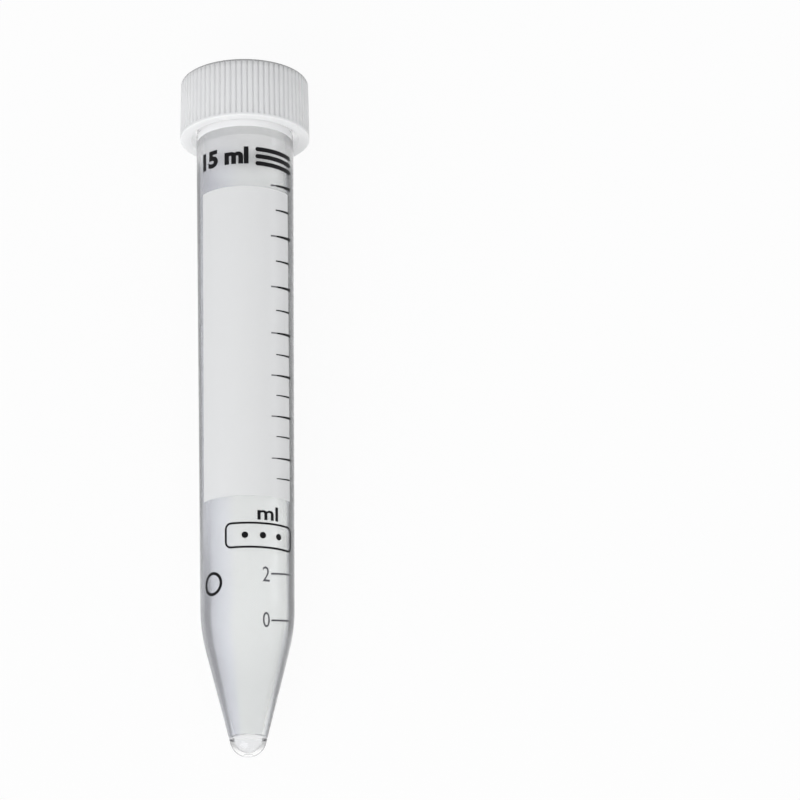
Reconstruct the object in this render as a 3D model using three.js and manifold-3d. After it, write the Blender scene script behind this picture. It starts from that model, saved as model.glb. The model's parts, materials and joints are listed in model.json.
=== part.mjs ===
// A 15 ml conical centrifuge tube with its screw cap, lying on a table.
// Units are millimetres and +Z is up. +X runs from the tip towards the cap.
// Each piece is turned about its own Y axis, with Y = 0 at its lower end, and the whole is
// then laid down. It rests on the rim of the cap and on the shoulder of the tube, so its
// axis rises a little towards the cap.

import * as THREE from 'three';
import { mergeVertices } from 'three/addons/utils/BufferGeometryUtils.js';
import Module from 'manifold-3d';

const wasm = await Module();
wasm.setup();

// ---- driving dimensions ----

// tube
const tubeLength = 117.8; // tip to mouth
const coneHeight = 20.9; // tip to the corner between cone and body
const bodyRadius = 7.82; // at that corner
const bodyDraft = 0.0083; // radius gained for each millimetre up the body
const wall = 1.15;
const shoulderRadius = 29; // of the soft corner between cone and body
const tipRadius = 3.05; // of the ball at the tip
const tipFloor = 3.2; // solid plastic under the bore, which ends flat
const tipBoreRadius = 2.3; // of the flat end of the bore, with its rounded corner
const tipBoreCorner = 0.6; // radius of that corner
const gateRadius = 1.0; // of the shallow dimple under the tip
const gateDepth = 0.35;
const neckLength = 8.4; // mouth to the step where the body begins
const neckWall = 0.95;
const neckStep = 0.2; // height of the sloping step below the neck
const lipRadius = 0.3; // of the two rounded edges of the mouth

// cap
const capHeight = 10.75;
const lidThickness = 1.4;
const skirtWall = 1.95; // over the ribs, at the rim
const capDraft = 0.11; // radius lost from the rim to the top
const capEdgeRadius = 0.5; // of the rounded edge around the top
const ribCount = 72;
const ribDepth = 0.3;
const grooveShare = 0.5; // share of each rib's pitch that its groove takes at the surface
const rimHeight = 0.45; // plain band below the ribs
const plugWall = 0.85;
const plugDepth = 1.5;

// clearances
const seatGap = 0.3; // mouth to the underside of the lid
const plugGap = 0.3; // bore to the sealing plug, all round
const threadSpace = 1.02; // neck to the skirt, for the screw thread

// fineness
const tubeSides = 48;
const arcSteps = 6;
const lipSteps = 2;
const edgeSteps = 4;
const weldDistance = 1e-4; // corners closer than this are one corner

// ---- sizes that follow ----

const bodyRadiusAt = (y) => bodyRadius + bodyDraft * (y - coneHeight);
const mouthBore = bodyRadiusAt(tubeLength) - wall;
const neckRadius = mouthBore + neckWall;
const skirtBore = neckRadius + threadSpace;
const rimRadius = skirtBore + skirtWall;
const rimY = tubeLength + seatGap + lidThickness - capHeight;

// ---- outlines, as points (distance from the axis, height) ----

function arc(centreX, centreY, radius, from, to, steps = arcSteps) {
  const points = [];
  for (let i = 0; i <= steps; i += 1) {
    const angle = from + ((to - from) * i) / steps;
    points.push(
      new THREE.Vector2(centreX + radius * Math.cos(angle), centreY + radius * Math.sin(angle)),
    );
  }
  return points;
}

// The angle from the axis of a line that leaves a round end and meets a corner.
function coneAngle(cornerX, cornerY, endX, endY, endRadius) {
  const run = cornerX - endX;
  const rise = cornerY - endY;
  return Math.acos(endRadius / Math.hypot(run, rise)) - Math.atan2(rise, run);
}

// The soft corner where a cone, at its angle from the axis, turns into the drafted body.
function softCorner(cornerX, cornerY, angle, radius) {
  const lean = Math.atan(bodyDraft);
  const tangent = radius * Math.tan((angle - lean) / 2);
  const startX = cornerX - tangent * Math.sin(angle);
  const startY = cornerY - tangent * Math.cos(angle);
  return arc(
    startX - radius * Math.cos(angle),
    startY + radius * Math.sin(angle),
    radius,
    -angle,
    -lean,
  );
}

// Up the outside of the tube, from the dimple under the tip to the step below the neck.
function bodyOutline() {
  const ballY = Math.sqrt(tipRadius ** 2 - gateRadius ** 2);
  const angle = coneAngle(bodyRadius, coneHeight, 0, ballY, tipRadius);
  const ballStart = Math.atan2(-ballY, gateRadius);
  const stepY = tubeLength - neckLength - neckStep;
  return [
    new THREE.Vector2(0, gateDepth),
    new THREE.Vector2(gateRadius / 2, gateDepth),
    ...arc(0, ballY, tipRadius, ballStart, -angle),
    ...softCorner(bodyRadius, coneHeight, angle, shoulderRadius),
    new THREE.Vector2(bodyRadiusAt(stepY), stepY),
  ];
}

// Down the inside, from the mouth to the flat end of the bore.
function boreOutline() {
  const cornerX = bodyRadius - wall;
  const endX = tipBoreRadius - tipBoreCorner;
  const endY = tipFloor + tipBoreCorner;
  const angle = coneAngle(cornerX, coneHeight, endX, endY, tipBoreCorner);
  const upward = [
    new THREE.Vector2(0, tipFloor),
    ...arc(endX, endY, tipBoreCorner, -Math.PI / 2, -angle),
    ...softCorner(cornerX, coneHeight, angle, shoulderRadius),
  ];
  return upward.reverse();
}

function tubeOutline() {
  const neckY = tubeLength - neckLength;
  const lipY = tubeLength - lipRadius;
  return [
    ...bodyOutline(),
    new THREE.Vector2(neckRadius, neckY),
    ...arc(neckRadius - lipRadius, lipY, lipRadius, 0, Math.PI / 2, lipSteps),
    ...arc(mouthBore + lipRadius, lipY, lipRadius, Math.PI / 2, Math.PI, lipSteps),
    ...boreOutline(),
  ];
}

function capOutline() {
  const topRadius = rimRadius - capDraft;
  const lidY = capHeight - lidThickness;
  const plugRadius = mouthBore - plugGap;
  const edgeX = topRadius - capEdgeRadius;
  const edgeY = capHeight - capEdgeRadius;
  return [
    new THREE.Vector2(0, lidY),
    new THREE.Vector2(plugRadius - plugWall, lidY),
    new THREE.Vector2(plugRadius - plugWall, lidY - plugDepth),
    new THREE.Vector2(plugRadius, lidY - plugDepth),
    new THREE.Vector2(plugRadius, lidY),
    new THREE.Vector2(skirtBore, lidY),
    new THREE.Vector2(skirtBore, 0),
    new THREE.Vector2(rimRadius, 0),
    ...arc(edgeX, edgeY, capEdgeRadius, 0, Math.PI / 2, edgeSteps),
    new THREE.Vector2(0, capHeight),
  ];
}

// ---- solids ----

// One closed solid from a geometry, with its shared corners merged.
function solidOf(geometry) {
  const bare = geometry.clone();
  bare.deleteAttribute('normal');
  bare.deleteAttribute('uv');
  const merged = mergeVertices(bare, weldDistance);
  const index = Array.from(merged.index.array);
  const triangles = [];
  for (let i = 0; i < index.length; i += 3) {
    const [a, b, c] = index.slice(i, i + 3);
    if (a !== b && b !== c && c !== a) triangles.push(a, b, c);
  }
  return new wasm.Manifold(
    new wasm.Mesh({
      numProp: 3,
      vertProperties: Float32Array.from(merged.attributes.position.array),
      triVerts: Uint32Array.from(triangles),
    }),
  );
}

function geometryOf(solid) {
  const mesh = solid.getMesh();
  const geometry = new THREE.BufferGeometry();
  geometry.setAttribute('position', new THREE.BufferAttribute(mesh.vertProperties, 3));
  geometry.setIndex(new THREE.BufferAttribute(mesh.triVerts, 1));
  geometry.computeVertexNormals();
  return geometry;
}

// Turned about Y, with the middle of one flat side facing the table.
function turned(outline, sides) {
  return new THREE.LatheGeometry(outline, sides, Math.PI / sides);
}

// A three-sided bar that cuts one groove. Its point lies ribDepth below the surface and its
// broad side as far outside, where it is twice as wide as the groove.
function grooveCutter() {
  const pitch = (2 * Math.PI * rimRadius) / ribCount;
  const surfaceWidth = grooveShare * pitch;
  const section = new THREE.Shape([
    new THREE.Vector2(-ribDepth, 0),
    new THREE.Vector2(ribDepth, -surfaceWidth),
    new THREE.Vector2(ribDepth, surfaceWidth),
  ]);
  const length = capHeight - rimHeight + capEdgeRadius;
  const bar = new THREE.ExtrudeGeometry(section, { depth: length, bevelEnabled: false });
  bar.rotateX(-Math.PI / 2);
  bar.rotateZ(Math.atan(capDraft / capHeight));
  bar.translate(rimRadius - (capDraft * rimHeight) / capHeight, rimHeight, 0);
  return bar;
}

function cap() {
  const cutter = grooveCutter();
  const grooves = [];
  for (let i = 0; i < ribCount; i += 1) {
    const angle = (2 * Math.PI * (i + 0.5)) / ribCount - Math.PI / 2;
    grooves.push(solidOf(cutter.clone().rotateY(angle)));
  }
  const blank = solidOf(turned(capOutline(), ribCount));
  return geometryOf(blank.subtract(wasm.Manifold.union(grooves)));
}

function tube() {
  return geometryOf(solidOf(turned(tubeOutline(), tubeSides)));
}

// ---- materials ----

const clearPolypropylene = new THREE.MeshStandardMaterial({
  color: 0xe4e8ec,
  roughness: 0.12,
  metalness: 0,
  transparent: true,
  opacity: 0.35,
});
const whitePolyethylene = new THREE.MeshStandardMaterial({
  color: 0xf1f1f2,
  roughness: 0.45,
  metalness: 0,
});

// ---- assembly ----

function piece(name, geometry, material) {
  const mesh = new THREE.Mesh(geometry, material);
  mesh.name = name;
  return mesh;
}

// The axis rises by the smallest angle that leaves the whole tube above the table.
function restAngle() {
  const rimDrop = rimRadius * Math.cos(Math.PI / ribCount);
  const angles = bodyOutline().map((point) => {
    const drop = point.x * Math.cos(Math.PI / tubeSides);
    return Math.atan2(rimDrop - drop, rimY - point.y);
  });
  return Math.min(...angles);
}

const screwCap = piece('cap', cap(), whitePolyethylene);
screwCap.position.y = rimY;

const upright = new THREE.Group();
upright.add(piece('tube', tube(), clearPolypropylene), screwCap);
upright.rotation.z = -Math.PI / 2; // the turning axis, Y, now points along +X

const laid = new THREE.Group();
laid.add(upright);
laid.rotation.y = -restAngle();

// The origin lies under the middle of the part, on the table.
const model = new THREE.Group();
model.add(laid);
model.updateMatrixWorld(true);
const box = new THREE.Box3().setFromObject(model, true);
const middle = box.getCenter(new THREE.Vector3());
laid.position.set(-middle.x, -middle.y, -box.min.z);

export default model;
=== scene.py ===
import json
import math

import bmesh
import bpy
from mathutils import Matrix, Vector


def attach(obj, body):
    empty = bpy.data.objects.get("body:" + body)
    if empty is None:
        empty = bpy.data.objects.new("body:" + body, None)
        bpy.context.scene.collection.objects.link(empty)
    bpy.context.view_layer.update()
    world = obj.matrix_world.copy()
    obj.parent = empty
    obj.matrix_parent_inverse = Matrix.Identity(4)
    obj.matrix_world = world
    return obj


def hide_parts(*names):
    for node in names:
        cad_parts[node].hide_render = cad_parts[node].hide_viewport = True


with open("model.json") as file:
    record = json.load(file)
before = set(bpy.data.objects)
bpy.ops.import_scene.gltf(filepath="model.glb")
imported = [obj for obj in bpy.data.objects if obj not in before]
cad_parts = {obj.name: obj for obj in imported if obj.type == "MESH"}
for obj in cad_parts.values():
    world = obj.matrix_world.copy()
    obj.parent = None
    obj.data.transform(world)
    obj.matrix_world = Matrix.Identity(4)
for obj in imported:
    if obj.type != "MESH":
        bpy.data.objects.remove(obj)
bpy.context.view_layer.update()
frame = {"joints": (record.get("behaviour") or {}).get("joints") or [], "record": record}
print("frame loaded")

# Pieces are modelled upright in millimetres, with heights counted from the tip, the print
# facing -Y and +X to its right. layDown then puts them on the table, in metres.

mm = 0.001
wholeLength = 119.5  # tip to the top of the lid

capTop = next(m for m in frame["record"]["mounts"] if m["name"] == "cap_top")
tubeAxis = Vector(frame["joints"][0]["axis"]).normalized()
toRight = Vector((0, -1, 0))
toBack = tubeAxis.cross(toRight)
tipPoint = Vector(capTop["pos_m"]) - tubeAxis * wholeLength * mm
turning = Matrix((toRight, toBack, tubeAxis)).transposed().to_4x4()
layDown = Matrix.Translation(tipPoint) @ turning @ Matrix.Scale(mm, 4)


class Value:
    def __init__(self, nodes, socket):
        self.nodes = nodes
        self.socket = socket

    def maths(self, operation, other=0.0, swapped=False):
        pair = [other, self] if swapped else [self, other]
        return self.nodes.make("ShaderNodeMath", {"operation": operation}, pair)

    def __add__(self, other):
        return self.maths("ADD", other)

    def __sub__(self, other):
        return self.maths("SUBTRACT", other)

    def __rsub__(self, other):
        return self.maths("SUBTRACT", other, swapped=True)

    def __mul__(self, other):
        return self.maths("MULTIPLY", other)

    def __gt__(self, other):
        return self.maths("GREATER_THAN", other)

    def __lt__(self, other):
        return self.maths("LESS_THAN", other)

    __radd__ = __add__
    __rmul__ = __mul__


class Nodes:
    def __init__(self, tree):
        self.tree = tree
        tree.nodes.clear()

    def make(self, kind, settings=None, values=(), output=0):
        node = self.tree.nodes.new(kind)
        for name, setting in (settings or {}).items():
            if name == "stops":
                self.setStops(node.color_ramp, setting)
            else:
                setattr(node, name, setting)
        pairs = values.items() if isinstance(values, dict) else enumerate(values)
        for name, value in pairs:
            if isinstance(value, Value):
                self.tree.links.new(value.socket, node.inputs[name])
            else:
                node.inputs[name].default_value = value
        return Value(self, node.outputs[output])

    def setStops(self, ramp, stops):
        while len(ramp.elements) < len(stops):
            ramp.elements.new(0.5)
        for element, (place, colour) in zip(ramp.elements, stops):
            element.position = place
            element.color = colour

    # a smooth step from 0 to 1 as the value goes from start to end
    def ramp(self, value, start, end):
        settings = {"interpolation_type": "SMOOTHSTEP"}
        values = {"Value": value, "From Min": start, "From Max": end}
        return self.make("ShaderNodeMapRange", settings, values)

    def mixColour(self, factor, first, second, blend="MIX"):
        settings = {"data_type": "RGBA", "blend_type": blend}
        return self.make("ShaderNodeMix", settings, {0: factor, 6: first, 7: second}, 2)

    def finish(self, shader, part="Material"):
        output = self.tree.nodes.new("ShaderNodeOutput" + part)
        self.tree.links.new(shader.socket, output.inputs["Surface"])

    def noise(self, place, scale, detail=2.0, roughness=0.5):
        values = {"Vector": place, "Scale": scale, "Detail": detail, "Roughness": roughness}
        return self.make("ShaderNodeTexNoise", {}, values)


def material(name):
    made = bpy.data.materials.new(name)
    made.use_nodes = True
    return made, Nodes(made.node_tree)


def arc(centreR, centreZ, radius, start, end, steps=8):
    angles = [start + (end - start) * i / steps for i in range(steps + 1)]
    return [(centreR + radius * math.cos(a), centreZ + radius * math.sin(a)) for a in angles]


def circle(centreX, centreZ, radius, steps):
    return arc(centreX, centreZ, radius, 0, 2 * math.pi, steps)[:-1]


def smoothStep(t):
    t = min(max(t, 0), 1)
    return t * t * (3 - 2 * t)


# an outline of (radius, height) points that starts and ends on the axis, turned full circle;
# outsideCount marks its first points as the outer face of a wall
def spun(outline, sides, outsideCount=0):
    bm = bmesh.new()
    outside = bm.verts.layers.float.new("outside")
    verts = [bm.verts.new((r, 0, z)) for r, z in outline]
    for v in verts[:outsideCount]:
        v[outside] = 1
    edges = [bm.edges.new(pair) for pair in zip(verts, verts[1:])]
    bmesh.ops.spin(
        bm, geom=verts + edges, cent=(0, 0, 0), axis=(0, 0, 1),
        angle=2 * math.pi, steps=sides, use_merge=True, use_duplicate=False,
    )
    bmesh.ops.remove_doubles(bm, verts=bm.verts, dist=1e-4)
    bmesh.ops.recalc_face_normals(bm, faces=bm.faces)
    return bm


# how far a thread's ridge stands out at a height and angle, fading in and out at its ends
def threadLift(thread, angle, height):
    turn = (angle / (2 * math.pi)) % 1
    coil = (height - thread["start"]) / thread["pitch"] - turn
    nearest = round(coil)
    along = nearest + turn
    if not 0 <= along <= thread["turns"]:
        return 0
    away = abs(coil - nearest) * thread["pitch"]
    ends = min(along, thread["turns"] - along) / thread["runOut"]
    flank = (thread["halfWidth"] - away) / thread["flank"]
    return thread["depth"] * smoothStep(ends) * smoothStep(flank)


# moves each vertex out from the axis by what lift says for its radius, angle and height
def pushOut(bm, lift):
    for v in bm.verts:
        r = math.hypot(v.co.x, v.co.y)
        if r > 0:
            share = 1 + lift(r, math.atan2(v.co.y, v.co.x), v.co.z) / r
            v.co.x *= share
            v.co.y *= share


# lays the upright mesh on the table and makes it a piece that rides on a body
def piece(name, bm, finish, body, sharpAngle=40):
    bmesh.ops.transform(bm, matrix=layDown, verts=bm.verts)
    mesh = bpy.data.meshes.new(name)
    bm.to_mesh(mesh)
    bm.free()
    mesh.shade_smooth()
    mesh.set_sharp_from_angle(angle=math.radians(sharpAngle))
    mesh.materials.append(finish)
    made = bpy.data.objects.new(name, mesh)
    bpy.context.scene.collection.objects.link(made)
    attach(made, body)
    print(name, len(mesh.polygons), "faces")
    return made


tubeSizes = {
    "length": 117.8, "coneHeight": 20.9, "bodyRadius": 7.82, "bodyDraft": 0.0083,
    "wall": 1.15, "shoulderRadius": 29, "tipRadius": 3.05, "tipFloor": 3.2,
    "tipBoreRadius": 2.3, "tipBoreCorner": 0.6, "gateRadius": 1.0, "gateDepth": 0.35,
    "neckLength": 8.4, "neckWall": 0.95, "neckStep": 0.2, "lipRadius": 0.3,
    # the dimple under the tip, as shares of its radius and depth
    "gateFlat": 0.45, "gateBend": 0.7, "gateBendDepth": 0.8,
    "drawnIn": 0.02,  # keeps the round wall inside the flat-sided solid
    "sides": 160,
    "endSteps": 14,  # around the ball and the end of the bore
    "shoulderSteps": 12,
    "lipSteps": 4,
    "neckRow": 0.16,  # height of a row of faces along the thread
    "closeRing": 0.15,  # from the end of a long wall to the ring that keeps its shading straight
}
neckThread = {
    "start": 111.3, "pitch": 2.8, "turns": 2.0, "depth": 0.62,
    "halfWidth": 0.8, "flank": 0.45, "runOut": 0.12,
}


def bodyRadiusAt(height):
    sizes = tubeSizes
    return sizes["bodyRadius"] + sizes["bodyDraft"] * (height - sizes["coneHeight"]) - sizes["drawnIn"]


mouthBore = bodyRadiusAt(tubeSizes["length"]) - tubeSizes["wall"]
neckRadius = mouthBore + tubeSizes["neckWall"]


# the angle from the axis of a cone that leaves a round end and meets a corner
def coneAngle(cornerR, cornerZ, endR, endZ, endRadius):
    run, rise = cornerR - endR, cornerZ - endZ
    return math.acos(endRadius / math.hypot(run, rise)) - math.atan2(rise, run)


# a point moved a little up a wall that leans at this angle from the axis, or down it
def beyond(point, angle, sign=1):
    step = sign * tubeSizes["closeRing"]
    return (point[0] + step * math.sin(angle), point[1] + step * math.cos(angle))


# up one face of the cone, from its round end to the soft corner at the drafted body
def coneWall(cornerR, endR, endZ, endRadius, endStart):
    sizes = tubeSizes
    cornerZ, radius = sizes["coneHeight"], sizes["shoulderRadius"]
    angle = coneAngle(cornerR, cornerZ, endR, endZ, endRadius)
    lean = math.atan(sizes["bodyDraft"])
    tangent = radius * math.tan((angle - lean) / 2)
    startR = cornerR - tangent * math.sin(angle)
    startZ = cornerZ - tangent * math.cos(angle)
    end = arc(endR, endZ, endRadius, endStart, -angle, sizes["endSteps"])
    corner = arc(
        startR - radius * math.cos(angle), startZ + radius * math.sin(angle),
        radius, -angle, -lean, sizes["shoulderSteps"],
    )
    coneRings = [beyond(end[-1], angle), beyond(corner[0], angle, -1)]
    return end + coneRings + corner + [beyond(corner[-1], lean)]


# the outer face from the axis to the neck, and the rest back to the axis
def tubeOutline():
    sizes = tubeSizes
    tipRadius = sizes["tipRadius"] - sizes["drawnIn"]
    gateRadius, gateDepth = sizes["gateRadius"], sizes["gateDepth"]
    ballZ = math.sqrt(tipRadius ** 2 - gateRadius ** 2)
    coneCorner = bodyRadiusAt(sizes["coneHeight"])
    outside = coneWall(coneCorner, 0, ballZ, tipRadius, math.atan2(-ballZ, gateRadius))
    dimple = [
        (0, gateDepth), (gateRadius * sizes["gateFlat"], gateDepth),
        (gateRadius * sizes["gateBend"], gateDepth * sizes["gateBendDepth"]),
    ]
    stepZ = sizes["length"] - sizes["neckLength"]
    stepFoot = (bodyRadiusAt(stepZ), stepZ - sizes["neckStep"])
    lean = math.atan(sizes["bodyDraft"])
    step = [beyond(stepFoot, lean, -1), stepFoot, (neckRadius, stepZ)]
    lipZ = sizes["length"] - sizes["lipRadius"]
    rows = round((lipZ - stepZ) / sizes["neckRow"])
    neck = [(neckRadius, stepZ + (lipZ - stepZ) * i / rows) for i in range(1, rows)]
    lipR, lipSteps = sizes["lipRadius"], sizes["lipSteps"]
    lip = arc(neckRadius - lipR, lipZ, lipR, 0, math.pi / 2, lipSteps)
    lip += arc(mouthBore + lipR, lipZ, lipR, math.pi / 2, math.pi, lipSteps)
    lip.append(beyond(lip[-1], lean, -1))
    boreCorner = coneCorner - sizes["wall"]
    floorR = sizes["tipBoreRadius"] - sizes["tipBoreCorner"]
    floorZ = sizes["tipFloor"] + sizes["tipBoreCorner"]
    inside = coneWall(boreCorner, floorR, floorZ, sizes["tipBoreCorner"], -math.pi / 2)
    inside = [(0, sizes["tipFloor"])] + inside
    return dimple + outside + step + neck, lip + inside[::-1]


def tubeBody(finish):
    outerFace, innerFace = tubeOutline()
    bm = spun(outerFace + innerFace, tubeSizes["sides"], len(outerFace))
    neckFace = neckRadius - tubeSizes["lipRadius"] / 2

    def lift(r, angle, height):
        return threadLift(neckThread, angle, height) if r > neckFace else 0

    pushOut(bm, lift)
    made = piece("tube_body", bm, finish, "tube")
    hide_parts("tube")


capSizes = {
    "height": 10.75, "lid": 1.4, "skirtWall": 1.95, "draft": 0.11, "edgeRadius": 0.5,
    "ribs": 72, "ribDepth": 0.34, "ribShare": 0.55, "rimHeight": 0.45,
    "ribRunOut": 0.35, "ribRunOutSteps": 5,
    "plugWall": 0.85, "plugDepth": 1.5, "plugGap": 0.32, "plugEdge": 0.2,
    "threadSpace": 1.02, "ringEdge": 0.22,
    "stepsPerRib": 8, "edgeSteps": 8, "ringSteps": 4, "plugSteps": 3,
    "boreRow": 0.16,  # height of a row of faces along the thread
    "drawnIn": 0.015,  # keeps the round skirt inside the flat-sided solid
}
capThread = {
    "start": 109.9, "pitch": 2.8, "turns": 2.0, "depth": 0.62,
    "halfWidth": 0.8, "flank": 0.45, "runOut": 0.12,
}
capRim = wholeLength - capSizes["height"]
skirtBore = neckRadius + capSizes["threadSpace"]
rimRadius = skirtBore + capSizes["skirtWall"] - capSizes["drawnIn"] + tubeSizes["drawnIn"]


def capOutline():
    sizes = capSizes
    lidZ = wholeLength - sizes["lid"]
    plugR = mouthBore - sizes["plugGap"] + tubeSizes["drawnIn"]
    plugBore = plugR - sizes["plugWall"]
    edge, plugZ, steps = sizes["plugEdge"], lidZ - sizes["plugDepth"], sizes["plugSteps"]
    points = [(0, lidZ), (plugBore - edge, lidZ)]
    points += arc(plugBore - edge, lidZ - edge, edge, math.pi / 2, 0, steps)[1:]
    points += arc(plugBore + edge, plugZ + edge, edge, math.pi, 1.5 * math.pi, steps)
    points += arc(plugR - edge, plugZ + edge, edge, -math.pi / 2, 0, steps)
    points += [(plugR, lidZ), (skirtBore - edge, lidZ)]
    points += arc(skirtBore - edge, lidZ - edge, edge, math.pi / 2, 0, steps)[1:]
    ring, steps = sizes["ringEdge"], sizes["ringSteps"]
    rows = round((lidZ - edge - capRim - ring) / sizes["boreRow"])
    boreStep = (lidZ - edge - capRim - ring) / rows
    points += [(skirtBore, lidZ - edge - boreStep * i) for i in range(1, rows)]
    points += arc(skirtBore + ring, capRim + ring, ring, math.pi, 1.5 * math.pi, steps)
    points += arc(rimRadius - ring, capRim + ring, ring, -math.pi / 2, 0, steps)
    ribFoot = capRim + sizes["rimHeight"]
    ribTop = wholeLength - sizes["edgeRadius"]
    steps = sizes["ribRunOutSteps"]
    heights = [ribFoot + sizes["ribRunOut"] * i / steps for i in range(steps + 1)]
    heights += [ribTop - sizes["ribRunOut"] * i / steps for i in range(steps, 0, -1)]
    points += [(rimRadius - sizes["draft"] * (z - capRim) / sizes["height"], z) for z in heights]
    edgeR = rimRadius - sizes["draft"] - sizes["edgeRadius"]
    points += arc(edgeR, ribTop, sizes["edgeRadius"], 0, math.pi / 2, sizes["edgeSteps"])
    return points + [(0, wholeLength)]


# how deep the groove beside each rib is, with rounded ends at the rim and under the lid
def grooveDepth(angle, height):
    sizes = capSizes
    phase = abs((angle / (2 * math.pi) * sizes["ribs"]) % 1 - 0.5) * 2
    across = 1 - phase / sizes["ribShare"]
    foot = (height - capRim - sizes["rimHeight"]) / sizes["ribRunOut"]
    top = (wholeLength - sizes["edgeRadius"] / 2 - height) / sizes["ribRunOut"]
    return sizes["ribDepth"] * smoothStep(across) * smoothStep(foot) * smoothStep(top)


def capShell(finish):
    bm = spun(capOutline(), capSizes["ribs"] * capSizes["stepsPerRib"])
    skirtMiddle = (skirtBore + rimRadius) / 2
    boreFace = skirtBore - capSizes["plugEdge"] / 2

    def lift(r, angle, height):
        if r > skirtMiddle:
            return -grooveDepth(angle, height)
        return -threadLift(capThread, angle, height) if r > boreFace else 0

    pushOut(bm, lift)
    made = piece("cap_shell", bm, finish, "cap", 50)
    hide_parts("cap")


printSizes = {
    "patch": {"from": 42.0, "to": 96.8, "halfAngle": 63, "corner": 0.15},
    "ticks": {
        "heights": (
            97.7, 93.2, 88.4, 83.9, 79.2, 75.0, 70.9, 67.1, 63.4, 59.9, 56.2, 52.7, 48.9, 45.4,
        ),
        "longStart": 31, "longEnd": 65, "paleEnd": 39, "shortStart": 38, "shortEnd": 62,
        "longWidth": 0.62, "shortWidth": 0.44, "lastShare": 0.6, "taper": 0.5,
    },
    "middle": 48,  # the angle where a tick's height is measured
    "slope": 0.015,  # how much a tick climbs for each degree to its right
    # each figure, its height, the height of its tick and the angle where that ends
    "figures": (("2", 28.8, 29.2, 61), ("0", 21.2, 21.4, 59.5)),
    "figureAngle": 22.9, "figureHeight": 2.5, "figureWidth": 1.2,
    "figureTick": 29.5, "figureTickWidth": 0.3,
    "sliceWidth": 0.3,  # flat shapes are cut this often before they are bent round the tube
    "inkThickness": 0.03,
    "patchLift": 0.02, "inkLift": 0.06,  # from the tube to the underside of the print
}


# a flat shape in the XZ plane, X counted along the surface, is bent round the tube
def wrapped(bm, lift):
    bmesh.ops.remove_doubles(bm, verts=bm.verts, dist=0.01)
    xs = [v.co.x for v in bm.verts]
    cut = printSizes["sliceWidth"]
    for i in range(math.ceil(min(xs) / cut), math.floor(max(xs) / cut) + 1):
        geom = bm.verts[:] + bm.edges[:] + bm.faces[:]
        place = (i * cut, 0, 0)
        bmesh.ops.bisect_plane(bm, geom=geom, dist=1e-5, plane_co=place, plane_no=(1, 0, 0))
    inner = set(bm.verts)
    bmesh.ops.extrude_face_region(bm, geom=bm.faces[:], use_keep_orig=True)
    for v in bm.verts:
        r = bodyRadiusAt(v.co.z)
        angle = v.co.x / r
        r += lift if v in inner else lift + printSizes["inkThickness"]
        v.co.x = r * math.sin(angle)
        v.co.y = -r * math.cos(angle)
    bmesh.ops.recalc_face_normals(bm, faces=bm.faces)
    return bm


def flatShape(bm, points):
    return bm.faces.new([bm.verts.new((x, 0, z)) for x, z in points])


def along(angle, height):
    return math.radians(angle) * bodyRadiusAt(height)


def roundedBox(middleX, middleZ, halfWidth, halfHeight, corner, steps=6):
    points = []
    for signX, signZ, start in ((1, -1, -90), (1, 1, 0), (-1, 1, 90), (-1, -1, 180)):
        x = middleX + signX * (halfWidth - corner)
        z = middleZ + signZ * (halfHeight - corner)
        points += arc(x, z, corner, math.radians(start), math.radians(start + 90), steps)
    return points


def writeOnPatch(finish):
    patch = printSizes["patch"]
    bm = bmesh.new()
    middle, halfHeight = (patch["to"] + patch["from"]) / 2, (patch["to"] - patch["from"]) / 2
    halfWidth = along(patch["halfAngle"], patch["from"])
    flatShape(bm, roundedBox(0, middle, halfWidth, halfHeight, patch["corner"]))
    piece("write_on_patch", wrapped(bm, printSizes["patchLift"]), finish, "tube")


# a tick that widens from its first end to its last
def tick(bm, height, start, end, firstWidth, lastWidth):
    x1, x2 = along(start, height), along(end, height)
    slope, middle = printSizes["slope"], printSizes["middle"]
    z1, z2 = height + (start - middle) * slope, height + (end - middle) * slope
    flatShape(bm, [
        (x1, z1 - firstWidth / 2), (x2, z2 - lastWidth / 2),
        (x2, z2 + lastWidth / 2), (x1, z1 + firstWidth / 2),
    ])


def scaleTicks(dark, pale):
    sizes = printSizes["ticks"]
    heights = sizes["heights"]
    darkOnes, paleOnes = bmesh.new(), bmesh.new()
    for i, height in enumerate(heights):
        share = 1 + (sizes["lastShare"] - 1) * i / (len(heights) - 1)
        if i % 2 == 0:
            width = sizes["longWidth"] * share
            narrow = width * sizes["taper"]
            tick(paleOnes, height, sizes["longStart"], sizes["paleEnd"], narrow, narrow)
            tick(darkOnes, height, sizes["paleEnd"], sizes["longEnd"], narrow, width)
        else:
            width = sizes["shortWidth"] * share
            tick(darkOnes, height, sizes["shortStart"], sizes["shortEnd"], width * sizes["taper"], width)
    lift = printSizes["inkLift"]
    piece("scale_ticks", wrapped(darkOnes, lift), dark, "tube")
    piece("scale_tick_starts", wrapped(paleOnes, lift), pale, "tube")


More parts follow.
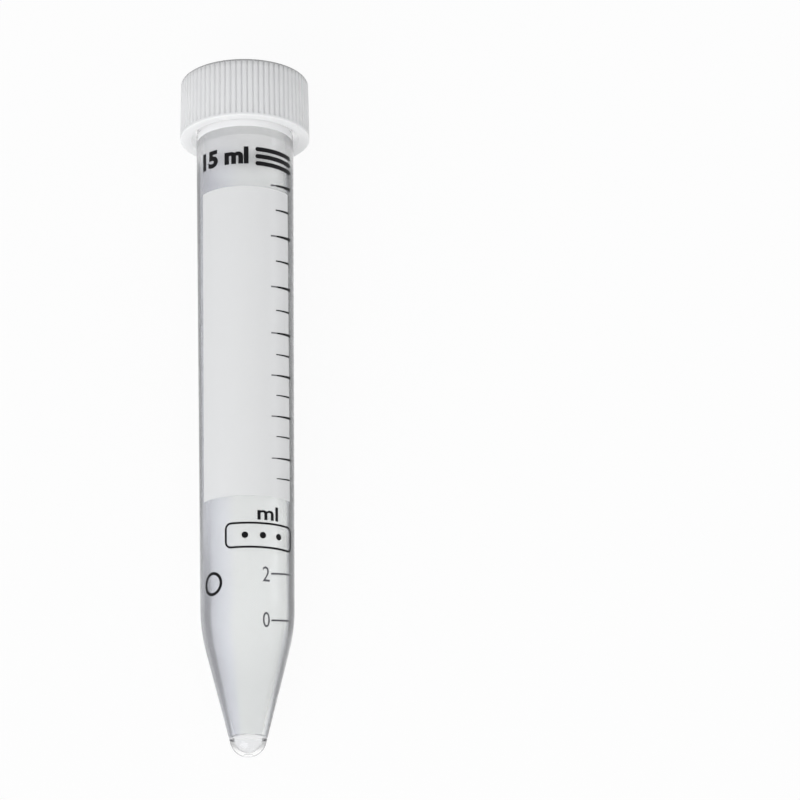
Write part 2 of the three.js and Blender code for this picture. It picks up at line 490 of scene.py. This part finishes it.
# lettering as a flat mesh of a given height and width about a middle point
def lettering(bm, words, middleX, middleZ, width, height, boldness=0.0):
    text = bpy.data.curves.new(words, "FONT")
    text.body = words
    text.offset = boldness
    holder = bpy.data.objects.new(words, text)
    bpy.context.scene.collection.objects.link(holder)
    drawn = holder.evaluated_get(bpy.context.evaluated_depsgraph_get())
    flat = bpy.data.meshes.new_from_object(drawn)
    bpy.data.objects.remove(holder)
    bpy.data.curves.remove(text)
    letters = bmesh.new()
    letters.from_mesh(flat)
    bmesh.ops.remove_doubles(letters, verts=letters.verts, dist=1e-4)
    xs, ys = [v.co.x for v in letters.verts], [v.co.y for v in letters.verts]
    scaleX, scaleZ = width / (max(xs) - min(xs)), height / (max(ys) - min(ys))
    for v in letters.verts:
        x = middleX + (v.co.x - (min(xs) + max(xs)) / 2) * scaleX
        z = middleZ + (v.co.y - (min(ys) + max(ys)) / 2) * scaleZ
        v.co = (x, 0, z)
    letters.to_mesh(flat)
    letters.free()
    bm.from_mesh(flat)
    bpy.data.meshes.remove(flat)


def scaleFigures(finish):
    sizes = printSizes
    wide, tall, line = sizes["figureWidth"], sizes["figureHeight"], sizes["figureTickWidth"]
    bm = bmesh.new()
    for figure, height, tickHeight, tickEnd in sizes["figures"]:
        lettering(bm, figure, along(sizes["figureAngle"], height), height, wide, tall)
        tick(bm, tickHeight, sizes["figureTick"], tickEnd, line, line)
    piece("scale_figures", wrapped(bm, sizes["inkLift"]), finish, "tube")


# a closed band between two outlines with as many points each
def bandShape(bm, outer, inner):
    outerVerts = [bm.verts.new((x, 0, z)) for x, z in outer]
    innerVerts = [bm.verts.new((x, 0, z)) for x, z in inner]
    for i in range(len(outer)):
        j = (i + 1) % len(outer)
        bm.faces.new((outerVerts[i], outerVerts[j], innerVerts[j], innerVerts[i]))


markSizes = {
    "volume": {
        "words": "15 ml", "angle": -27, "height": 102.5, "width": 9.2, "tall": 3.2, "bold": 0.05,
    },
    "bars": {
        "from": 12, "to": 66, "height": 102.4, "tall": 3.4, "rows": 3, "share": 0.6, "roundness": 0.98,
    },
    "unit": {"words": "ml", "angle": 26, "height": 39.1, "width": 3.8, "tall": 2.4, "bold": 0.02},
    "label": {
        "angle": 19, "height": 35.3, "halfWidth": 6.4, "halfHeight": 2.2, "corner": 1.1, "line": 0.34,
    },
    "dots": {"count": 3, "space": 3.0, "radius": 0.55, "steps": 20},
    "ring": {"angle": -46, "height": 27.6, "radius": 2.0, "line": 0.5, "steps": 40},
}


def plainMarks(finish):
    marks = markSizes
    bm = bmesh.new()
    for name in ("volume", "unit"):
        mark = marks[name]
        place = along(mark["angle"], mark["height"])
        sizes = (mark["height"], mark["width"], mark["tall"], mark["bold"])
        lettering(bm, mark["words"], place, *sizes)
    bars = marks["bars"]
    pitch = bars["tall"] / (bars["rows"] - 1 + bars["share"])
    x1, x2 = along(bars["from"], bars["height"]), along(bars["to"], bars["height"])
    for row in range(bars["rows"]):
        z = bars["height"] + bars["tall"] / 2 - pitch * (row + bars["share"] / 2)
        half = pitch * bars["share"] / 2
        corner = half * bars["roundness"]
        flatShape(bm, roundedBox((x1 + x2) / 2, z, (x2 - x1) / 2, half, corner))
    label = marks["label"]
    place = along(label["angle"], label["height"])
    outer = (place, label["height"], label["halfWidth"], label["halfHeight"], label["corner"])
    inner = (place, label["height"], *(size - label["line"] for size in outer[2:]))
    bandShape(bm, roundedBox(*outer), roundedBox(*inner))
    dots = marks["dots"]
    for i in range(dots["count"]):
        x = place + (i - (dots["count"] - 1) / 2) * dots["space"]
        flatShape(bm, circle(x, label["height"], dots["radius"], dots["steps"]))
    ring = marks["ring"]
    place, height, steps = along(ring["angle"], ring["height"]), ring["height"], ring["steps"]
    outer = circle(place, height, ring["radius"], steps)
    bandShape(bm, outer, circle(place, height, ring["radius"] - ring["line"], steps))
    piece("plain_marks", wrapped(bm, printSizes["inkLift"]), finish, "tube")


white = (1, 1, 1, 1)


# places in upright millimetres, for patterns that follow the tube's own axis
def uprightPlace(nodes):
    place = nodes.make("ShaderNodeTexCoord", output=3)
    values = {
        "Vector": place, "Location": tipPoint, "Rotation": turning.to_euler(), "Scale": (mm, mm, mm),
    }
    return nodes.make("ShaderNodeMapping", {"vector_type": "TEXTURE"}, values)


def stretched(nodes, place, scale):
    return nodes.make("ShaderNodeVectorMath", {"operation": "MULTIPLY"}, [place, scale])


# one of the three millimetre values of a place: 0 across, 2 along
def millimetres(nodes, place, axis):
    return nodes.make("ShaderNodeSeparateXYZ", {}, [place], axis)


def bump(nodes, height, distance):
    values = {"Height": height, "Distance": distance, "Strength": 1.0}
    return nodes.make("ShaderNodeBump", {}, values)


tubeLook = {
    # the wall's tint from the tip upwards, and the heights over which each new tint comes in
    "tipFace": (0.865, 0.865, 0.87, 1), "lowFace": (0.945, 0.945, 0.95, 1), "lowRise": (0, 26),
    "face": (0.83, 0.83, 0.838, 1), "rise": (84, 98),
    "neckFace": (0.985, 0.985, 0.988, 1), "neckRise": (102.3, 104.2),
    # a painted shade band on the outer face just below the cap's rim
    "band": (0.81755, 0.81755, 0.82004, 1), "bandFrom": 106.45, "bandTo": 107.96,
    "clearness": 0.89, "refraction": 1.49, "gloss": 0.05,
    "haze": 0.16, "hazeRise": (2, 14),  # the ball at the tip is clearer than the rest
    # faint streaks where the plastic flowed along the mould
    "flowHaze": 0.06, "flowSize": 0.6, "flowStretch": (1, 1, 0.05), "flowRelief": 0.00002,
    # hazy ring where the neck begins, with painted light and a painted glow for the light through the
    # skirt of the cap
    "collar": 0.85, "collarPaintedLight": (0.90, 0.90, 0.905, 1), "collarPaintedGlow": 0.08, "collarHeight": 4,
    "collarRoughness": 0.4, "collarEdge": (0.70, 0.85), "collarFade": 0.6,
    # painted shade on the wall seen edge-on, by how far it turns from the eye, partly for the longer
    # path through the plastic and in its own way on each side as the light falls; the cone's shades pass
    # into the body's over leftRise and rightRise, and stop above the ball at tipRise
    "leftRise": (22.1, 44), "rightRise": (19.1, 21.1), "sideBlend": (-3, 3), "tipRise": (2.6, 3.0),
    "bodyLeft": (
        (0.06, 1.0), (0.12, 0.93), (0.22, 0.85), (0.32, 0.79), (0.384, 0.76), (0.46, 0.71), (0.56, 0.66),
        (0.64, 0.52), (0.70, 0.12), (0.85, 0.08), (0.97, 0.2),
    ),
    "bodyRight": ((0.42, 1.0), (0.50, 0.45), (0.56, 0.10), (0.72, 0.09), (0.82, 0.2), (0.95, 0.7)),
    "coneLeft": (
        (0.04, 1.0), (0.10, 0.90), (0.23, 0.80), (0.34, 0.70), (0.42, 0.24), (0.56, 0.22),
        (0.62, 0.42), (1.0, 0.48),
    ),
    "coneRight": ((0.32, 1.0), (0.45, 0.62), (0.56, 0.20), (0.70, 0.16), (0.80, 0.5), (1.0, 0.8)),
    # beside the cap the edge catches light from its skirt
    "litEdge": (101.0, 105.5), "litShare": 0.7,
    # the ball is clear right through, most of all at its foot, inside a thin painted dark outline where
    # it is seen edge-on
    "tipShare": 0.6, "tipTop": 2.7, "tipFoot": (0.8, 2.4), "tipFrom": (0.29, 0.37),
    "tipOutline": (0.45, 0.46, 0.49, 1), "outlineFrom": (0.62, 0.82), "outlineShare": 0.6,
}


# shades as colours that lean a little towards blue
def greyStops(stops):
    return [(place, (shade, shade * 1.02, min(1, shade * 1.09), 1)) for place, shade in stops]


# painted shade: the wall seen edge-on is darker, partly for its longer path through the plastic, and in
# its own way on each side and on the cone as the light falls
def edgeShade(nodes, facing, side, height):
    look = tubeLook
    shades = {
        name: nodes.make("ShaderNodeValToRGB", {"stops": greyStops(look[name])}, [facing])
        for name in ("bodyLeft", "bodyRight", "coneLeft", "coneRight")
    }
    leftRise = nodes.ramp(height, *look["leftRise"])
    rightRise = nodes.ramp(height, *look["rightRise"])
    left = nodes.mixColour(leftRise, shades["coneLeft"], shades["bodyLeft"])
    right = nodes.mixColour(rightRise, shades["coneRight"], shades["bodyRight"])
    litEdge = nodes.ramp(height, *look["litEdge"]) * look["litShare"]
    return nodes.mixColour(litEdge, nodes.mixColour(side, left, right), white)


# the colour of the clear wall: its tint by height, with painted shade where it is seen edge-on, in a
# band under the cap and as an outline round the ball
def wallColour(nodes, across, height, facing, outside):
    look = tubeLook
    edge = edgeShade(nodes, facing, nodes.ramp(across, *look["sideBlend"]), height)
    face = nodes.mixColour(nodes.ramp(height, *look["lowRise"]), look["tipFace"], look["lowFace"])
    for rise, tint in (("rise", "face"), ("neckRise", "neckFace")):
        face = nodes.mixColour(nodes.ramp(height, *look[rise]), face, look[tint])
    # painted shade: a darker band on the outer face just below the cap
    band = (height > look["bandFrom"]) * (height < look["bandTo"]) * outside
    face = nodes.mixColour(band, face, look["band"])
    # painted shade: a thin dark outline where the ball is seen edge-on
    outline = nodes.ramp(facing, *look["outlineFrom"]) * outside
    rounded = nodes.mixColour(outline, white, look["tipOutline"])
    shaded = outside * nodes.ramp(height, *look["tipRise"])
    return nodes.mixColour(1.0, face, nodes.mixColour(shaded, rounded, edge), "MULTIPLY")


def clearPlastic():
    made, nodes = material("clear polypropylene")
    look = tubeLook
    place = uprightPlace(nodes)
    across, height = millimetres(nodes, place, 0), millimetres(nodes, place, 2)
    facing = nodes.make("ShaderNodeLayerWeight", {}, {"Blend": 0.5}, 1)
    outside = nodes.make("ShaderNodeAttribute", {"attribute_name": "outside"}, output=2)
    flow = nodes.noise(stretched(nodes, place, look["flowStretch"]), look["flowSize"])
    haze = nodes.ramp(height, *look["hazeRise"]) * (look["haze"] + flow * look["flowHaze"])
    wall = nodes.make("ShaderNodeBsdfPrincipled", {}, {
        "Base Color": wallColour(nodes, across, height, facing, outside),
        "Roughness": look["gloss"] + haze, "IOR": look["refraction"],
        "Transmission Weight": look["clearness"], "Normal": bump(nodes, flow, look["flowRelief"]),
    })
    # the hazy collar, painted lighter and glowing, shows from outside only, so that the far wall still
    # lets light through
    collar = nodes.make("ShaderNodeBsdfPrincipled", {}, {
        "Base Color": look["collarPaintedLight"], "Roughness": look["collarRoughness"],
        "Emission Color": white, "Emission Strength": look["collarPaintedGlow"],
    })
    fromOutside = 1 - nodes.make("ShaderNodeNewGeometry", output=6)
    collarShare = outside * fromOutside * (height > look["bandTo"]) * look["collar"]
    collarShare = collarShare * (height < look["bandTo"] + look["collarHeight"])
    collarShare = collarShare * (1 - nodes.ramp(facing, *look["collarEdge"]) * look["collarFade"])
    clearTip = nodes.make("ShaderNodeBsdfTransparent", {}, {"Color": white})
    foot = 1 - nodes.ramp(height, *look["tipFoot"])
    outline = nodes.ramp(facing, *look["outlineFrom"]) * outside
    tipShare = outside * nodes.ramp(facing, *look["tipFrom"]) * (height < look["tipTop"])
    tipShare = tipShare * (look["tipShare"] + foot * (1 - look["tipShare"]))
    tipShare = tipShare * (1 - outline * look["outlineShare"])
    shader = nodes.make("ShaderNodeMixShader", {}, [collarShare, wall, collar])
    nodes.finish(nodes.make("ShaderNodeMixShader", {}, [tipShare, shader, clearTip]))
    return made


capLook = {
    "colour": (0.87, 0.87, 0.875, 1), "shade": (0.83, 0.83, 0.838, 1),
    "outerGlow": 0.0004, "innerGlow": 0.004,  # how far light spreads under the surface, in metres
    # a painted glow on the inner faces, standing in for light that soaks through: at the rim, and deep
    # in the skirt
    "rimGlow": (0.07, 0.07, 0.07, 1), "deepGlow": (0.53, 0.53, 0.53, 1), "deepRise": (109.4, 111.6),
    "deepColour": (0.40, 0.40, 0.405, 1),  # what the deep faces add by plain reflection
    # painted shade: heights between which the skirt turns darker towards the top and its rounded edge,
    # and by how much
    "paintedTopShades": ((113.0, 118.5, 0.94), (118.1, 119.2, 0.84), (118.9, 119.3, 0.50)),
    "skirtDepth": 0.62,  # how far below the surface the skirt's painted shade reaches
    "cloudSize": 0.35, "grainSize": 14, "grainRelief": 0.00001,
    "roughness": 0.38, "grainRoughness": 0.16,
    "slack": 0.1, "lidDepth": 0.5,  # what still counts as the rim's underside, the bore and the lid
}


# white plastic that lets more light through where its inner face is seen, with a painted glow there and
# painted shade towards the top of its skirt
def whitePlastic():
    made, nodes = material("white polyethylene")
    look = capLook
    place = uprightPlace(nodes)
    flat = stretched(nodes, place, (1, 1, 0))
    fromAxis = nodes.make("ShaderNodeVectorMath", {"operation": "LENGTH"}, [flat], 1)
    height = millimetres(nodes, place, 2)
    clouds = nodes.noise(place, look["cloudSize"], 3)
    grain = nodes.noise(place, look["grainSize"], 2)
    colour = nodes.mixColour(clouds, look["shade"], look["colour"])
    onSkirt = fromAxis > rimRadius - look["skirtDepth"]
    # painted shade, darker towards the top of the skirt and its rounded edge
    for start, end, grey in look["paintedTopShades"]:
        share = nodes.ramp(height, start, end) * onSkirt
        colour = nodes.mixColour(share, colour, (grey, grey, grey, 1), "MULTIPLY")
    relief = bump(nodes, grain, look["grainRelief"])
    deep = nodes.ramp(height, *look["deepRise"])
    # painted glow on the inner faces: dim at the rim, bright deep in the skirt
    paintedGlow = nodes.mixColour(deep, look["rimGlow"], look["deepGlow"])
    innerColour = nodes.mixColour(deep, colour, look["deepColour"])
    outer, inner = (look["outerGlow"], colour, 0), (look["innerGlow"], innerColour, 1)
    faces = [
        nodes.make("ShaderNodeBsdfPrincipled", {}, {
            "Base Color": base, "Roughness": look["roughness"] + grain * look["grainRoughness"],
            "Subsurface Weight": 1.0, "Subsurface Radius": (1, 1, 1), "Subsurface Scale": spread,
            "Emission Color": paintedGlow, "Emission Strength": strength, "Normal": relief,
        })
        for spread, base, strength in (outer, inner)
    ]
    underRim = height < capRim + look["slack"]
    inBore = (fromAxis < skirtBore + look["slack"]) * (height < wholeLength - look["lidDepth"])
    inside = inBore * (1 - underRim) + underRim
    nodes.finish(nodes.make("ShaderNodeMixShader", {}, [inside, *faces]))
    return made


inkLook = {
    "white ink": {
        "colour": (0.88, 0.882, 0.888, 1), "roughness": 0.28, "gloss": 0.5, "alpha": 0.78,
        "speckle": 0.10,
        # painted light: the white print turns paler towards its right-hand edge
        "paintedLight": (0.99, 0.99, 0.995, 1), "paintedLightAcross": (-2, 7),  # towards its right-hand edge
    },
    "black ink": {"colour": (0.004, 0.004, 0.005, 1), "roughness": 0.4, "gloss": 0.1},
    "label ink": {"colour": (0.004, 0.004, 0.005, 1), "roughness": 0.4, "gloss": 0.1},
    "worn black ink": {"colour": (0.16, 0.16, 0.17, 1), "roughness": 0.5, "gloss": 0.2},
    "grey ink": {"colour": (0.11, 0.11, 0.12, 1), "roughness": 0.5, "gloss": 0.2},
}
inkGrain = {
    "size": 9, "detail": 3, "sharpness": 0.6, "relief": 0.000004, "roughness": 0.12,
    "paler": 1.25, "lift": 0.004,  # the thin places, as a share of the ink's colour and some more
}


def ink(name):
    made, nodes = material(name)
    look = inkLook[name]
    place = uprightPlace(nodes)
    grain = nodes.noise(place, inkGrain["size"], inkGrain["detail"], inkGrain["sharpness"])
    paler = [min(1, c * inkGrain["paler"] + inkGrain["lift"]) for c in look["colour"]]
    colour = nodes.mixColour(grain, look["colour"], paler)
    # painted light, paler towards the right-hand edge of the print
    if "paintedLight" in look:
        paintedLightShare = nodes.ramp(millimetres(nodes, place, 0), *look["paintedLightAcross"])
        colour = nodes.mixColour(paintedLightShare, colour, look["paintedLight"])
    nodes.finish(nodes.make("ShaderNodeBsdfPrincipled", {}, {
        "Base Color": colour, "Roughness": look["roughness"] + grain * inkGrain["roughness"],
        "Specular IOR Level": look["gloss"],
        "Alpha": look.get("alpha", 1.0) - grain * look.get("speckle", 0.0),
        "Normal": bump(nodes, grain, inkGrain["relief"]),
    }))
    return made


stageLook = {
    "colour": (0.88, 0.88, 0.88, 1), "roughness": 0.75, "grain": 60, "grainRoughness": 0.1,
    "gloss": 0.1,
    "shown": 0.93,  # share of plain white that the camera sees, the rest keeps the shadow
    "size": 6.0, "drop": 0.00002,
}
lightPaths = ("Is Camera Ray", "Is Glossy Ray", "Is Transmission Ray")


# 1 where the camera sees something, directly or in gloss or through glass
def seenShare(nodes):
    seen = [nodes.make("ShaderNodeLightPath", output=kind) for kind in lightPaths]
    return seen[0] + seen[1] + seen[2]


def whiteFloor():
    made, nodes = material("white table")
    look = stageLook
    grain = nodes.noise(nodes.make("ShaderNodeTexCoord", output=3), look["grain"])
    paper = nodes.make("ShaderNodeBsdfPrincipled", {}, {
        "Base Color": look["colour"], "Roughness": look["roughness"] + grain * look["grainRoughness"],
        "Specular IOR Level": look["gloss"],
    })
    glow = nodes.make("ShaderNodeEmission", {}, {"Color": white, "Strength": 1.0})
    nodes.finish(nodes.make("ShaderNodeMixShader", {}, [seenShare(nodes) * look["shown"], paper, glow]))
    return made


def table():
    bm = bmesh.new()
    bmesh.ops.create_grid(bm, x_segments=1, y_segments=1, size=stageLook["size"] / 2)
    bmesh.ops.translate(bm, verts=bm.verts, vec=(0, 0, -stageLook["drop"]))
    mesh = bpy.data.meshes.new("table")
    bm.to_mesh(mesh)
    bm.free()
    mesh.materials.append(whiteFloor())
    floor = bpy.data.objects.new("table", mesh)
    bpy.context.scene.collection.objects.link(floor)


lightLook = {
    "level": 0.45, "cool": (0.985, 0.994, 1.0, 1),
    "lean": (-0.41, 0.14, 0.40),  # the sky is brighter towards this side
    "softboxes": {
        "key softbox": {"place": (-0.48, 0.26, 0.34), "size": (0.40, 0.40), "watts": 1.15},
        "strip softbox": {"place": (0.15, -0.48, 0.18), "size": (0.16, 0.06), "watts": 0.17},
    },
}


def studioWorld():
    world = bpy.data.worlds.new("studio")
    world.use_nodes = True
    bpy.context.scene.world = world
    nodes = Nodes(world.node_tree)
    look = lightLook
    towards = nodes.make("ShaderNodeTexCoord")
    lean = nodes.make("ShaderNodeVectorMath", {"operation": "DOT_PRODUCT"}, [towards, look["lean"]], 1)
    soft = lean + look["level"]
    strength = soft + seenShare(nodes) * (1 - soft)
    sky = nodes.make("ShaderNodeBackground", {}, {"Color": look["cool"], "Strength": strength})
    nodes.finish(sky, "World")


def softbox(name, look):
    lamp = bpy.data.lights.new(name, "AREA")
    lamp.shape = "RECTANGLE"
    lamp.size, lamp.size_y = look["size"]
    lamp.energy = look["watts"]
    box = bpy.data.objects.new(name, lamp)
    box.location = look["place"]
    box.rotation_euler = Vector(look["place"]).to_track_quat("Z", "Y").to_euler()  # it faces the tube
    bpy.context.scene.collection.objects.link(box)


# where the camera stands, in upright millimetres and degrees; nearest is in metres
cameraView = {
    "distance": 400, "belowTip": 62, "lens": 110.07, "nearest": 0.01,
    "pitch": 17.03, "yaw": 3.758, "roll": -1.42,
}


def camera():
    view = cameraView
    pitch, yaw, roll = (math.radians(view[turn]) for turn in ("pitch", "yaw", "roll"))
    level = math.cos(pitch)
    forward = Vector((math.sin(yaw) * level, math.cos(yaw) * level, math.sin(pitch)))
    across = Vector((math.cos(yaw), -math.sin(yaw), 0))
    up = across.cross(forward)
    side = across * math.cos(roll) + up * math.sin(roll)
    above = up * math.cos(roll) - across * math.sin(roll)
    aim = Matrix((side, above, -forward)).transposed().to_4x4()
    data = bpy.data.cameras.new("camera")
    data.lens = view["lens"]
    data.clip_start = view["nearest"]
    made = bpy.data.objects.new("camera", data)
    place = layDown @ Vector((0, -view["distance"], -view["belowTip"]))
    made.matrix_world = Matrix.Translation(place) @ turning @ aim
    bpy.context.scene.collection.objects.link(made)
    bpy.context.scene.camera = made


camera()
tubeBody(clearPlastic())
capShell(whitePlastic())
writeOnPatch(ink("white ink"))
scaleTicks(ink("black ink"), ink("worn black ink"))
scaleFigures(ink("grey ink"))
plainMarks(ink("label ink"))
table()
studioWorld()
for name, look in lightLook["softboxes"].items():
    softbox(name, look)
bpy.context.scene.view_settings.view_transform = "Standard"
print("stage ready")

print("finished")
